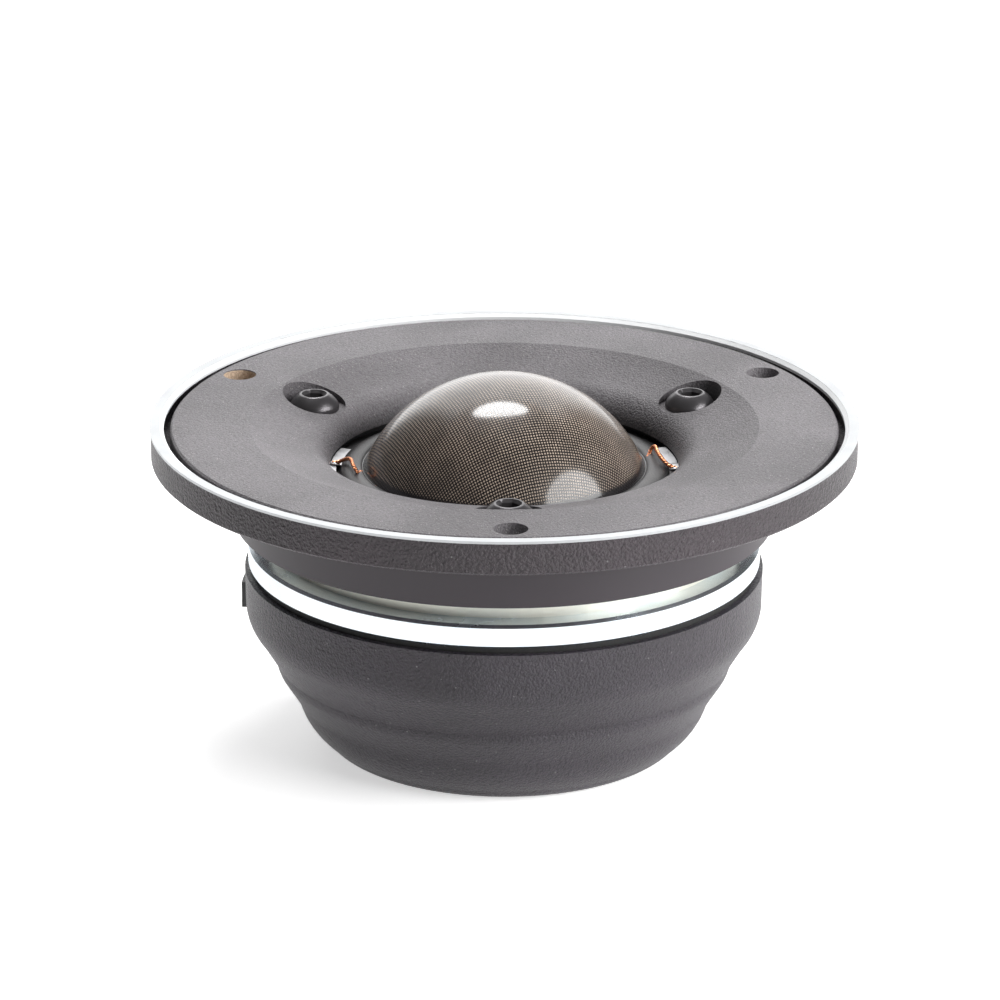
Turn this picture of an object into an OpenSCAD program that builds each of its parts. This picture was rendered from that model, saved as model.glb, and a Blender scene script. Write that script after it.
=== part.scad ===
// Large-format soft-dome tweeter for a car, with a metal flange and a rear chamber.
// Origin: centre of the flat base of the rear chamber. +Z is the way the dome faces.
// A part's own reference heights are measured up from that base, in millimetres.

/* [Faceplate] */
// Radius of the faceplate's outer edge
faceplate_r = 44.85; // [44.25:0.1:45.25]
// Radius of the crisp edge where the waveguide starts
waveguide_r = 34.25; // [34:0.05:34.5]
// Radius of the opening around the dome
aperture_r = 23.5; // [23.2:0.1:24]
// Radius of the rounded lip at the opening
lip_r = 3.8; // [3.2:0.1:4]
// Slope of the waveguide where it meets the lip, in degrees
lip_slope = 11; // [8:0.5:13]
// Radius of the pocket around each button head
pocket_r = 4.3; // [4:0.1:4.35]

/* [Flange and trim] */
// Radius of the flange's outer wall
flange_r = 47.5; // [47.2:0.1:48]
// Height of the flange's wall, from its back to its front edge
flange_h = 4.35; // [4.2:0.05:4.5]
// Thickness of the flange's floor
flange_floor = 1.55; // [1.4:0.05:1.8]
// Thickness of the bright trim on the flange's wall
trim_t = 0.35; // [0.25:0.05:0.6]
// Circle that the mounting holes lie on
mount_pcd = 83; // [82.5:0.1:84]
// Radius of a mounting hole
mount_hole_r = 2.25; // [2:0.05:2.4]

/* [Basket] */
// Outer radius of the basket's neck, which passes through the panel
neck_r = 36.45; // [36.2:0.05:36.6]
// Height of the neck's lower edge above the base
neck_z = 32.05; // [31.85:0.05:32.25]
// Thickness of the neck's wall
neck_wall = 1.8; // [1.7:0.05:1.9]

/* [Dome and voice coil] */
// Radius of the sphere that the dome is part of
dome_sphere_r = 20.7; // [20.5:0.05:21]
// Thickness of the dome's cloth
dome_t = 0.3; // [0.2:0.05:0.4]
// Radius of the dome at its rim
dome_rim_r = 19.05; // [19:0.01:19.08]
// Inner radius of the voice coil's former
former_r = 18.8; // [18.78:0.01:18.84]
// Length of the voice coil's winding
winding_h = 3.4; // [2.6:0.1:4]
// Radius of the surround's half roll
roll_r = 1.5; // [1.2:0.05:1.55]

/* [Motor] */
// Outer radius of the ring magnet
magnet_r = 34.6; // [33.8:0.1:34.6]
// Thickness of the ring magnet
magnet_h = 3.3; // [3:0.05:3.6]
// Radius of the rounded edges of the ring magnet
magnet_edge = 0.4; // [0.3:0.1:1]
// Outer radius of the top plate
top_plate_r = 31.6; // [31:0.1:31.6]
// Radius of the pole, with its copper cap
pole_r = 18.45; // [18.3:0.01:18.45]
// Radius of the vent through the pole
vent_r = 6; // [4:0.5:8]

/* [Rear chamber] */
// Radius of the chamber at its rim
chamber_r = 35.05; // [35:0.05:35.2]
// Height of the chamber's rim above its base
rim_z = 24.9; // [24.7:0.05:25]
// Thickness of the chamber's wall
chamber_wall = 2.1; // [1.8:0.1:2.3]
// Thickness of the chamber's floor
chamber_floor = 3; // [2.6:0.1:3.4]

/* [Screws] */
// Circle radius of the faceplate screws
plate_screw_circle_r = 29.66; // [29.5:0.02:29.8]
// Head radius of a faceplate screw
plate_screw_head_r = 3.4; // [3.2:0.05:3.6]
// Head height of a faceplate screw
plate_screw_head_h = 2.3; // [2.1:0.05:2.4]
// Circle radius of the chamber screws
base_screw_circle_r = 15.5; // [15:0.1:16]

/* [Terminals] */
// Width of a blade terminal
blade_w = 4.75; // [2.8:0.05:4.8]
// Length of a blade terminal below its block
blade_len = 8; // [6:0.5:9]
// Radius of a hook-up wire
wire_r = 0.35; // [0.25:0.05:0.35]

/* [Hidden] */
$fn = 96;
eps = 0.02;
screw_angles = [30, 150, 270];

// Heights, from the base up
yoke_z = 20.6;
magnet_z = rim_z + 0.7;
top_plate_z = magnet_z + magnet_h;
top_plate_top = neck_z + 1.55;
shelf_top = top_plate_top + 2.6;
ring_top = 38.6;
gasket_top = ring_top + 0.23;
flange_z = 40.65;
flange_top = flange_z + flange_h;
floor_top = flange_z + flange_floor;
face_z = flange_top - 0.1;
pocket_z = 42;

// Radii inside the basket
neck_in_r = neck_r - neck_wall;
hub_r = neck_in_r - 0.1;
shelf_in_r = 22;
ring_out_r = 32.8;
ring_in_r = 22.4;
channel_r = 33.35;
collar_r = neck_r + 0.9;
collar_h = 1;
relief_z = flange_z - 0.25;
relief_r = neck_r - 0.45;
flange_bore_r = neck_r + 0.45;

// The flange's wall and the groove that holds the trim's key
wall_in_r = flange_r - 1.2;
trim_key_r = [wall_in_r + 0.4, wall_in_r + 0.75];
trim_key_z = flange_top - 0.5;

// Waveguide: a dished arc that leaves the lip at lip_slope and ends at the crisp edge
lip_c = [aperture_r + lip_r, gasket_top];
lip_end = lip_c + lip_r * [-sin(lip_slope), cos(lip_slope)];
dish_chord = [waveguide_r, face_z] - lip_end;
dish_half_turn = atan2(dish_chord[1], dish_chord[0]) - lip_slope;
dish_r = norm(dish_chord) / (2 * sin(dish_half_turn));
dish_c = lip_end + dish_r * [-sin(lip_slope), cos(lip_slope)];

// Dome: the cap of a sphere whose rim has dome_rim_r at the ring's top
dome_c_z = ring_top - sqrt(pow(dome_sphere_r, 2) - pow(dome_rim_r, 2));
former_t = 0.12;
former_bottom = top_plate_z - 0.2;
winding_t = 0.45;
winding_z = (top_plate_z + top_plate_top - winding_h) / 2;
plate_gap_r = 19.95;

// Surround: a half roll between the dome's rim and its landing on the ring
landing_z = 37.9;
roll_c = [dome_rim_r + 0.15 + roll_r, landing_z];
surround_t = 0.2;
landing_out_r = 24.3;

// Screw shanks
plate_shank_r = 1.75;
plate_hole_r = 1.95;
plate_shank_end = top_plate_z + 0.4;
socket_flat_r = 1.25;
crown_rise = 0.5;
base_shank_r = 1.5;
base_hole_r = 1.7;
base_head_r = 2.7;
base_head_h = 1.7;
base_pocket_r = 3.1;
base_pocket_h = 2.1;
base_shank_end = magnet_z - 1;
boss_r = 4;

// Rear chamber: corners of its stepped outside, from the rim down, and how far
// each stretch bulges out of its straight line
chamber_outline = [
    [[chamber_r, rim_z], 0],
    [[34.95, 19.6], 0.25],
    [[33.7, 16.4], 0],
    [[33.2, 15.7], 0],
    [[30.95, 12], 0.15],
    [[30.3, 10.1], 0],
    [[28.05, 6.6], 0.55],
    [[24.7, 1.4], 0.25],
    [[22.6, 0], 0]
];
bulge_steps = 6;
cavity_z = chamber_floor;
cavity_rim_r = 31.6;

// Terminal block and wiring, on the side of the chamber
block_z = 17.8;
block_h = 3.6;
block_r = 35.65;
block_from = 129;
block_to = 176.5;
blade_t = 0.5;
blade_r = 35.2;
blade_angles = [136, 150];
wire_angles = [143, 158];
wire_rise_r = 35.05;
wire_turn_z = 30.4;
wire_slot_w = 1;

// Leads from the tabs to the voice coil
tab_angles = [180, 0];
tab_w = 3;
tab_t = 0.25;
tab_in_r = 22.65;
strip_r = 31.75;
strip_gap = 0.05;
ear_turn = 2;
lead_r = 0.25;
lead_out_r = 22.95;
lead_mid_r = 21;
lead_in_r = 19.6;
lead_z = ring_top + 1.45;
lead_turn = 17;

// ---- helpers ----

// Points of an arc from p to q that stands bulge out of the straight line, without q
function bulged(p, q, bulge) =
    bulge == 0 ? [p] :
    let (side = [q[1] - p[1], p[0] - q[0]] / norm(q - p))
    [for (i = [0 : bulge_steps - 1])
        let (t = i / bulge_steps)
        p + (q - p) * t - side * 4 * bulge * t * (1 - t)];

module ring(r_out, r_in, z, h) {
    translate([0, 0, z])
        difference() {
            cylinder(r = r_out, h = h);
            translate([0, 0, -1]) cylinder(r = r_in, h = h + 2);
        }
}

module drill(r, z0, z1) {
    translate([0, 0, z0]) cylinder(r = r, h = z1 - z0);
}

// Copies its children round the axis, at each angle and at radius r
module around(angles, r) {
    for (a = angles)
        rotate([0, 0, a]) translate([r, 0, 0]) children();
}

// A stretch of ring between two angles
module arc_ring(r_out, r_in, z, h, from, to) {
    rotate([0, 0, from])
        rotate_extrude(angle = to - from)
            translate([r_in, z]) square([r_out - r_in, h]);
}

// ---- rear chamber ----

module chamber_section() {
    count = len(chamber_outline);
    outside = [for (i = [0 : count - 2])
        each bulged(chamber_outline[i][0], chamber_outline[i + 1][0], chamber_outline[i][1])];
    difference() {
        polygon(concat(outside, [chamber_outline[count - 1][0], [0, 0], [0, rim_z]]));
        // seat for the yoke
        translate([0, yoke_z]) square([33.35, 10]);
        // cavity
        polygon([
            [0, cavity_z], [22.6, cavity_z], [25.8, cavity_z + 2], [30.3 - chamber_wall, 10.3],
            [31 - chamber_wall, 13], [cavity_rim_r - 0.4, 16.8], [cavity_rim_r, 18], [cavity_rim_r, 22],
            [0, 22]
        ]);
    }
}

module rear_chamber() {
    color([0.24, 0.23, 0.25])
        difference() {
            union() {
                rotate_extrude() chamber_section();
                around(screw_angles, base_screw_circle_r)
                    translate([0, 0, 1]) cylinder(r = boss_r, h = yoke_z - 1);
            }
            around(screw_angles, base_screw_circle_r) {
                drill(base_hole_r, -1, yoke_z + 1);
                drill(base_pocket_r, -1, base_pocket_h);
            }
            // recess that holds the terminal block
            arc_ring(37, block_r - 2, block_z, block_h, block_from, block_to);
            // grooves for the wires
            around(wire_angles, wire_rise_r)
                translate([-0.55, -wire_slot_w / 2, block_z + block_h - eps]) cube([3, wire_slot_w, 10]);
        }
}

module chamber_wadding() {
    color([0.75, 0.73, 0.7])
        difference() {
            drill(27.2, 12.4, 19.6);
            drill(7, 12, 21);
            around(screw_angles, base_screw_circle_r) drill(boss_r + 0.3, 12, 21);
        }
}

module chamber_gasket() {
    color([0.08, 0.08, 0.08]) ring(34.2, 33.35, rim_z, magnet_z - rim_z);
}

module chamber_screws() {
    color([0.3, 0.3, 0.31])
        around(screw_angles, base_screw_circle_r)
            difference() {
                union() {
                    drill(base_head_r, base_pocket_h - base_head_h, base_pocket_h);
                    drill(base_shank_r, base_pocket_h - eps, base_shank_end);
                }
                translate([0, 0, base_pocket_h - base_head_h - 1]) cylinder(r = 1.15, h = 2, $fn = 6);
            }
}

// ---- motor ----

module yoke() {
    cap_in_r = pole_r - 0.35;
    color([0.62, 0.63, 0.66])
        difference() {
            union() {
                drill(33.2, yoke_z, magnet_z);
                drill(pole_r, magnet_z - eps, top_plate_z);
                drill(cap_in_r, magnet_z, top_plate_top);
            }
            drill(vent_r, yoke_z - 1, top_plate_top + 1);
            translate([0, 0, top_plate_top - 3 + eps]) cylinder(r1 = vent_r, r2 = vent_r + 3, h = 3);
            around(screw_angles, base_screw_circle_r) drill(base_shank_r, yoke_z - 1, base_shank_end + 0.4);
        }
}

module copper_cap() {
    color([0.78, 0.45, 0.3]) ring(pole_r, pole_r - 0.35, top_plate_z, top_plate_top - top_plate_z);
}

module pole_felt() {
    color([0.35, 0.34, 0.36]) ring(17.2, vent_r + 3.5, top_plate_top, 1.6);
}

module magnet() {
    color([0.85, 0.87, 0.88])
        rotate_extrude()
            union() {
                translate([23, magnet_z]) square([magnet_r - magnet_edge - 23, magnet_h]);
                translate([magnet_r - magnet_edge - eps, magnet_z + magnet_edge])
                    square([magnet_edge + eps, magnet_h - 2 * magnet_edge]);
                for (z = [magnet_z + magnet_edge, magnet_z + magnet_h - magnet_edge])
                    translate([magnet_r - magnet_edge, z]) circle(magnet_edge);
            }
}

module top_plate() {
    color([0.8, 0.8, 0.72])
        difference() {
            ring(top_plate_r, plate_gap_r, top_plate_z, top_plate_top - top_plate_z);
            around(screw_angles, plate_screw_circle_r) drill(plate_shank_r, top_plate_z - 1, top_plate_top + 1);
        }
}

// ---- basket and front ----

module basket() {
    color([0.3, 0.28, 0.3])
        difference() {
            rotate_extrude()
                polygon([
                    [31.7, neck_z], [neck_r, neck_z], [neck_r, relief_z], [relief_r, relief_z],
                    [relief_r, floor_top - collar_h],
                    [collar_r, floor_top - collar_h], [collar_r, floor_top], [neck_in_r, floor_top],
                    [neck_in_r, shelf_top], [shelf_in_r, shelf_top], [shelf_in_r, top_plate_top],
                    [31.7, top_plate_top]
                ]);
            around(screw_angles, plate_screw_circle_r) drill(plate_hole_r, neck_z, shelf_top + 1);
            // passages for the two wires
            around(wire_angles, channel_r) drill(0.5, neck_z - 1, shelf_top + 1);
        }
}

module flange() {
    color([0.33, 0.31, 0.33])
        difference() {
            rotate_extrude()
                polygon([
                    [flange_bore_r, flange_z], [flange_r - 0.3, flange_z], [flange_r, flange_z + 0.3],
                    [flange_r, flange_top], [trim_key_r[1], flange_top], [trim_key_r[1], trim_key_z],
                    [trim_key_r[0], trim_key_z], [trim_key_r[0], flange_top], [wall_in_r, flange_top],
                    [wall_in_r, floor_top], [collar_r + 0.05, floor_top],
                    [collar_r + 0.05, floor_top - collar_h], [flange_bore_r, floor_top - collar_h]
                ]);
            around(screw_angles, mount_pcd / 2) drill(mount_hole_r, flange_z - 1, floor_top + 1);
        }
}

// A flat ring on the flange's wall, with a key in the wall's groove
module trim_ring() {
    color([0.93, 0.94, 0.95])
        rotate_extrude()
            polygon([
                [wall_in_r, flange_top], [trim_key_r[0], flange_top], [trim_key_r[0], trim_key_z],
                [trim_key_r[1], trim_key_z], [trim_key_r[1], flange_top], [flange_r + 0.15, flange_top],
                [flange_r + 0.15, flange_top + trim_t], [wall_in_r, flange_top + trim_t]
            ]);
}

module faceplate_section() {
    difference() {
        union() {
            intersection() {
                translate(lip_c) circle(lip_r);
                translate([aperture_r - 1, gasket_top]) square([lip_end[0] - aperture_r + 1, lip_r + 1]);
            }
            translate([lip_end[0] - eps, gasket_top]) square([hub_r - lip_end[0] + eps, face_z - gasket_top]);
            polygon([
                [hub_r - eps, floor_top], [faceplate_r, floor_top], [faceplate_r, face_z - 0.25],
                [faceplate_r - 0.25, face_z], [hub_r - eps, face_z]
            ]);
        }
        translate(dish_c) circle(dish_r, $fn = 360);
    }
}

module faceplate() {
    color([0.58, 0.56, 0.58])
        difference() {
            rotate_extrude() faceplate_section();
            around(screw_angles, plate_screw_circle_r) {
                drill(pocket_r, pocket_z, face_z + 1);
                drill(plate_hole_r, gasket_top - 1, face_z);
            }
            around(screw_angles, mount_pcd / 2) drill(mount_hole_r, floor_top - 1, face_z + 1);
        }
}

module faceplate_gasket() {
    color([0.1, 0.1, 0.1])
        difference() {
            ring(32.6, 24.6, ring_top, gasket_top - ring_top);
            around(screw_angles, plate_screw_circle_r) drill(plate_hole_r, ring_top - 1, gasket_top + 1);
        }
}

module button_head() {
    // spherical cap of the head's radius and height
    cap_r = (pow(plate_screw_head_r, 2) + pow(plate_screw_head_h, 2)) / (2 * plate_screw_head_h);
    difference() {
        intersection() {
            translate([0, 0, plate_screw_head_h - cap_r + crown_rise]) sphere(cap_r);
            cylinder(r = plate_screw_head_r, h = plate_screw_head_h - 0.02);
        }
        translate([0, 0, 0.7]) cylinder(r = socket_flat_r, h = 4, $fn = 6);
        // countersink at the mouth of the socket
        translate([0, 0, plate_screw_head_h - 0.32])
            cylinder(r1 = socket_flat_r - 0.1, r2 = socket_flat_r + 0.35, h = 0.45);
    }
}

module faceplate_screws() {
    color([0.14, 0.13, 0.14])
        around(screw_angles, plate_screw_circle_r) {
            translate([0, 0, pocket_z]) button_head();
            drill(plate_shank_r, plate_shank_end, pocket_z + 0.1);
        }
}

// ---- diaphragm ----

module diaphragm_ring() {
    color([0.12, 0.12, 0.13])
        difference() {
            ring(ring_out_r, ring_in_r, shelf_top, ring_top - shelf_top);
            // seat for the surround's landing
            translate([0, 0, landing_z]) cylinder(r = landing_out_r + 0.1, h = 2);
            around(screw_angles, plate_screw_circle_r) drill(plate_hole_r, shelf_top - 1, ring_top + 1);
            // seats for the solder tabs and their strips
            around(tab_angles, 0)
                translate([tab_in_r, -tab_w / 2, ring_top - tab_t]) cube([12, tab_w, 1]);
            strip_seat(wire_angles[1] - ear_turn, tab_angles[0]);
            strip_seat(tab_angles[1], wire_angles[0] + ear_turn);
        }
}

module strip_seat(from, to) {
    arc_ring(ring_out_r + 1, strip_r - strip_gap, ring_top - tab_t, 1, from, to);
}

module surround() {
    outer = roll_c[0] + roll_r;
    color([0.1, 0.09, 0.1])
        rotate_extrude() {
            intersection() {
                difference() {
                    translate(roll_c) circle(roll_r);
                    translate(roll_c) circle(roll_r - surround_t);
                }
                translate([roll_c[0] - roll_r - 1, roll_c[1]]) square([2 * roll_r + 2, roll_r + 1]);
            }
            // landing
            translate([outer - surround_t, landing_z]) square([landing_out_r - outer + surround_t, surround_t]);
        }
}

module dome() {
    color([0.3, 0.27, 0.24])
        intersection() {
            difference() {
                translate([0, 0, dome_c_z]) sphere(dome_sphere_r, $fn = 180);
                translate([0, 0, dome_c_z]) sphere(dome_sphere_r - dome_t, $fn = 180);
            }
            translate([0, 0, ring_top]) cylinder(r = dome_sphere_r + 1, h = dome_sphere_r);
        }
}

module voice_coil_former() {
    color([0.7, 0.68, 0.62]) ring(former_r + former_t, former_r, former_bottom, ring_top - former_bottom);
}

module voice_coil_winding() {
    color([0.72, 0.4, 0.25]) ring(former_r + former_t + winding_t, former_r + former_t, winding_z, winding_h);
}

// A flat strip from the inside of the ring to its edge, then round the edge to an ear
// over the hook-up wire
module solder_tab(angle, wire_angle) {
    strip_z = ring_top - tab_t;
    color([0.8, 0.8, 0.82])
        union() {
            rotate([0, 0, angle]) {
                translate([tab_in_r, -tab_w / 2, strip_z]) cube([ring_out_r - 0.1 - tab_in_r, tab_w, tab_t]);
                // solder bead beside the lead
                translate([lead_out_r + 0.9, 0, strip_z]) cylinder(r = 0.6, h = tab_t + 0.15);
            }
            arc_ring(ring_out_r, strip_r, strip_z, tab_t, min(angle, wire_angle), max(angle, wire_angle));
            rotate([0, 0, wire_angle])
                translate([strip_r + 0.1, -0.6, strip_z]) cube([channel_r + 0.5 - strip_r - 0.1, 1.2, tab_t]);
        }
}

// Up from its tab, in over the surround, round to the side, and in to the dome's rim
module lead_wire(angle) {
    color([0.8, 0.42, 0.22])
        rotate([0, 0, angle]) {
            translate([lead_out_r, 0, ring_top]) cylinder(r = lead_r, h = lead_z - ring_top);
            translate([lead_mid_r, 0, lead_z]) rotate([0, 90, 0]) cylinder(r = lead_r, h = lead_out_r - lead_mid_r);
            translate([lead_out_r, 0, lead_z]) sphere(lead_r + 0.05);
            translate([lead_mid_r, 0, lead_z]) sphere(lead_r + 0.05);
            rotate_extrude(angle = lead_turn) translate([lead_mid_r, lead_z]) circle(lead_r);
            rotate([0, 0, lead_turn]) {
                translate([lead_mid_r, 0, lead_z]) sphere(lead_r + 0.05);
                translate([lead_in_r, 0, lead_z])
                    rotate([0, 90, 0]) cylinder(r = lead_r, h = lead_mid_r - lead_in_r);
            }
        }
}

// ---- terminals and wiring ----

module terminal_block() {
    color([0.1, 0.1, 0.11])
        difference() {
            arc_ring(block_r, block_r - 2, block_z, block_h, block_from, block_to);
            for (a = blade_angles)
                rotate([0, 0, a])
                    translate([blade_r - blade_t / 2, -blade_w / 2, block_z - 1]) cube([blade_t, blade_w, 2.6]);
        }
}

module blade(angle) {
    rotate([0, 0, angle])
        difference() {
            translate([blade_r - blade_t / 2, -blade_w / 2, block_z - blade_len])
                cube([blade_t, blade_w, blade_len + 1.6]);
            translate([blade_r - 2, 0, block_z - blade_len + 2.5])
                rotate([0, 90, 0]) cylinder(r = 0.7, h = 4);
            // chamfered lead-in corners
            for (side = [-1, 1])
                translate([blade_r, side * blade_w / 2, block_z - blade_len])
                    rotate([45, 0, 0]) cube([4, 1, 1], center = true);
        }
}

module positive_terminal() {
    color([0.82, 0.7, 0.4]) blade(blade_angles[0]);
}

module negative_terminal() {
    color([0.8, 0.81, 0.83]) blade(blade_angles[1]);
}

// Up from the block, in over the top plate's edge, and up through the basket to the
// ear of a solder tab
module hookup_wire(angle) {
    rotate([0, 0, angle]) {
        translate([wire_rise_r, 0, block_z + block_h]) cylinder(r = wire_r, h = wire_turn_z - block_z - block_h);
        translate([channel_r, 0, wire_turn_z])
            rotate([0, 90, 0]) cylinder(r = wire_r, h = wire_rise_r - channel_r);
        translate([channel_r, 0, wire_turn_z]) cylinder(r = wire_r, h = ring_top - tab_t - wire_turn_z);
        for (r = [wire_rise_r, channel_r])
            translate([r, 0, wire_turn_z]) sphere(wire_r + 0.08);
    }
}

module positive_wire() {
    color([0.7, 0.12, 0.1]) hookup_wire(wire_angles[0]);
}

module negative_wire() {
    color([0.12, 0.12, 0.13]) hookup_wire(wire_angles[1]);
}

rear_chamber();
chamber_wadding();
chamber_gasket();
chamber_screws();
yoke();
copper_cap();
pole_felt();
magnet();
top_plate();
basket();
flange();
trim_ring();
faceplate();
faceplate_gasket();
faceplate_screws();
diaphragm_ring();
surround();
dome();
voice_coil_former();
voice_coil_winding();
solder_tab(tab_angles[0], wire_angles[1]);  // solder_tab_left
solder_tab(tab_angles[1], wire_angles[0]);  // solder_tab_right
lead_wire(tab_angles[0]);  // lead_wire_left
lead_wire(tab_angles[1]);  // lead_wire_right
terminal_block();
positive_terminal();
negative_terminal();
positive_wire();
negative_wire();
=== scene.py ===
import math

import bmesh
import bpy
import numpy as np
from mathutils import Matrix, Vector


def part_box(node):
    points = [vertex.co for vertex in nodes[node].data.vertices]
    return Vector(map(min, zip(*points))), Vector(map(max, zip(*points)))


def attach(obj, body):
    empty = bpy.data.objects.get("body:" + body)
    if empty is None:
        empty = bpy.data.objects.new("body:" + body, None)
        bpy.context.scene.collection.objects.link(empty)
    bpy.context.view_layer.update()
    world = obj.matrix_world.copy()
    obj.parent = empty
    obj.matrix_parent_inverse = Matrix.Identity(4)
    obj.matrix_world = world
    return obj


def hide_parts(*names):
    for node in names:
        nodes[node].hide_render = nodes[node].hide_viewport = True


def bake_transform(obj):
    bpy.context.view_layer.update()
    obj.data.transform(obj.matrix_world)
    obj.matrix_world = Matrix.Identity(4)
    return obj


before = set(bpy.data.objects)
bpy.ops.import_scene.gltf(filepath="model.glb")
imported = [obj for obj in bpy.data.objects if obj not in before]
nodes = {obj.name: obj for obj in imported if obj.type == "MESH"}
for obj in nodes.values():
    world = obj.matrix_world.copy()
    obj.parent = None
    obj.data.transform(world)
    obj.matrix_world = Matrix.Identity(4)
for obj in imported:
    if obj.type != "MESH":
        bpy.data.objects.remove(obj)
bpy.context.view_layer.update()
mm = 0.001
tau = 2 * math.pi


# size of a CAD node: outer radius, lowest and highest point
def extent(node):
    low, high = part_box(node)
    return high.x, low.z, high.z


def azimuth(points, degrees):
    # turns points about the axis
    a = math.radians(degrees)
    turn = np.array([[math.cos(a), math.sin(a), 0], [-math.sin(a), math.cos(a), 0], [0, 0, 1]])
    return points @ turn


def makeMesh(name, points, quads, smooth=True):
    mesh = bpy.data.meshes.new(name)
    mesh.from_pydata(points.reshape(-1, 3).tolist(), [], quads.tolist())
    mesh.validate()
    piece = bpy.data.objects.new(name, mesh)
    bpy.context.scene.collection.objects.link(piece)
    mesh.polygons.foreach_set("use_smooth", np.full(len(mesh.polygons), smooth))
    return piece


# a grid of points (rows, columns, 3) as quads; closeRows joins the last row to the
# first, closeColumns the last column to the first
def gridQuads(rows, columns, closeRows=False, closeColumns=False):
    i = np.arange(rows if closeRows else rows - 1)
    j = np.arange(columns if closeColumns else columns - 1)
    i, j = (k.ravel() for k in np.meshgrid(i, j, indexing="ij"))
    nextI, nextJ = (i + 1) % rows, (j + 1) % columns
    return np.stack([
        i * columns + j, nextI * columns + j, nextI * columns + nextJ, i * columns + nextJ], -1)


# merges doubles, such as those at a pole, and points the faces outwards
def tidyMesh(piece, gap=1e-6):
    work = bmesh.new()
    work.from_mesh(piece.data)
    bmesh.ops.remove_doubles(work, verts=work.verts, dist=gap)
    bmesh.ops.dissolve_degenerate(work, edges=work.edges, dist=gap)
    bmesh.ops.recalc_face_normals(work, faces=work.faces)
    work.to_mesh(piece.data)
    work.free()
    return piece


def sharpen(piece, degrees=35):
    # smooth faces, with a crisp edge where they meet at more than this angle
    piece.data.set_sharp_from_angle(angle=math.radians(degrees))
    return piece


# a closed profile of (r, z) points turned once round the axis:
# x = r cos(a), y = r sin(a), for a from 0 to a full turn
def lathe(name, profile, steps=256, closedProfile=True):
    a = np.arange(steps) * tau / steps
    r, z = np.asarray(profile, float).T
    points = np.stack([
        np.outer(np.cos(a), r), np.outer(np.sin(a), r), np.broadcast_to(z, (steps, len(z)))], -1)
    quads = gridQuads(steps, len(r), closeRows=True, closeColumns=closedProfile)
    return sharpen(tidyMesh(makeMesh(name, points, quads)))


# a smooth curve through given points: Catmull-Rom, each stretch a cubic whose end
# slopes are half the chord between its neighbours
def smoothPath(points, steps=12):
    p = np.array(points, float)
    p = np.concatenate([2 * p[:1] - p[1:2], p, 2 * p[-1:] - p[-2:-1]])
    t = np.linspace(0, 1, steps, endpoint=False)[:, None, None]
    a, b, c, d = p[:-3], p[1:-2], p[2:-1], p[3:]
    square = (2 * a - 5 * b + 4 * c - d) * t ** 2
    cube = (3 * b - a - 3 * c + d) * t ** 3
    curve = 0.5 * (2 * b + (c - a) * t + square + cube)
    return np.concatenate([curve.transpose(1, 0, 2).reshape(-1, 3), p[-2:-1]])


# two directions across a path, from its tangent and a fixed helper direction
def pathFrame(path, helper):
    tangent = np.gradient(path, axis=0)
    tangent /= np.linalg.norm(tangent, axis=1, keepdims=True)
    side = np.cross(tangent, helper)
    side /= np.linalg.norm(side, axis=1, keepdims=True)
    return side, np.cross(side, tangent)


# a round section carried along a path: point = path + radius (side cos b + up sin b);
# each end closes on the path's own end point
def tube(name, path, radius, sides, helper):
    side, up = pathFrame(path, np.array(helper, float))
    b = np.arange(sides) * tau / sides
    radius = np.broadcast_to(radius, len(path))[:, None, None]
    ring = np.cos(b)[None, :, None] * side[:, None] + np.sin(b)[None, :, None] * up[:, None]
    points = path[:, None] + radius * ring
    first = np.broadcast_to(path[0], (1, sides, 3))
    last = np.broadcast_to(path[-1], (1, sides, 3))
    points = np.concatenate([first, points, last])
    quads = gridQuads(len(points), sides, closeColumns=True)
    return sharpen(tidyMesh(makeMesh(name, points, quads)))


def joined(name, pieces):
    # several meshes as one piece
    with bpy.context.temp_override(active_object=pieces[0], selected_editable_objects=pieces):
        bpy.ops.object.join()
    pieces[0].name = name
    pieces[0].data.name = name
    return pieces[0]


# material helpers

def addNode(tree, kind, **settings):
    node = tree.nodes.new(kind)
    for key, value in settings.items():
        setattr(node, key, value)
    return node


def feed(tree, source, target):
    # source is a socket or a plain number
    if isinstance(source, bpy.types.NodeSocket):
        tree.links.new(source, target)
    else:
        target.default_value = source


def calc(tree, operation, a, b=0.0, c=0.0):
    node = addNode(tree, "ShaderNodeMath", operation=operation)
    for value, target in zip((a, b, c), node.inputs):
        feed(tree, value, target)
    return node.outputs[0]


# a smooth step from outLow to outHigh as value goes from low to high
def remap(tree, value, low, high, outLow=0.0, outHigh=1.0):
    node = addNode(tree, "ShaderNodeMapRange", interpolation_type="SMOOTHSTEP")
    names = ("Value", "From Min", "From Max", "To Min", "To Max")
    for name, given in zip(names, (value, low, high, outLow, outHigh)):
        feed(tree, given, node.inputs[name])
    return node.outputs["Result"]


def mixColour(tree, factor, a, b, blend="MIX"):
    node = addNode(tree, "ShaderNodeMix", data_type="RGBA", blend_type=blend)
    feed(tree, factor, node.inputs["Factor"])
    for value, target in ((a, node.inputs["A"]), (b, node.inputs["B"])):
        feed(tree, value if isinstance(value, bpy.types.NodeSocket) else (*value, 1.0), target)
    return node.outputs["Result"]


def noise(tree, vector, scale, detail=2.0, rough=0.5):
    node = addNode(tree, "ShaderNodeTexNoise")
    feed(tree, vector, node.inputs["Vector"])
    feed(tree, scale, node.inputs["Scale"])
    node.inputs["Detail"].default_value = detail
    node.inputs["Roughness"].default_value = rough
    return node.outputs["Fac"]


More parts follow.
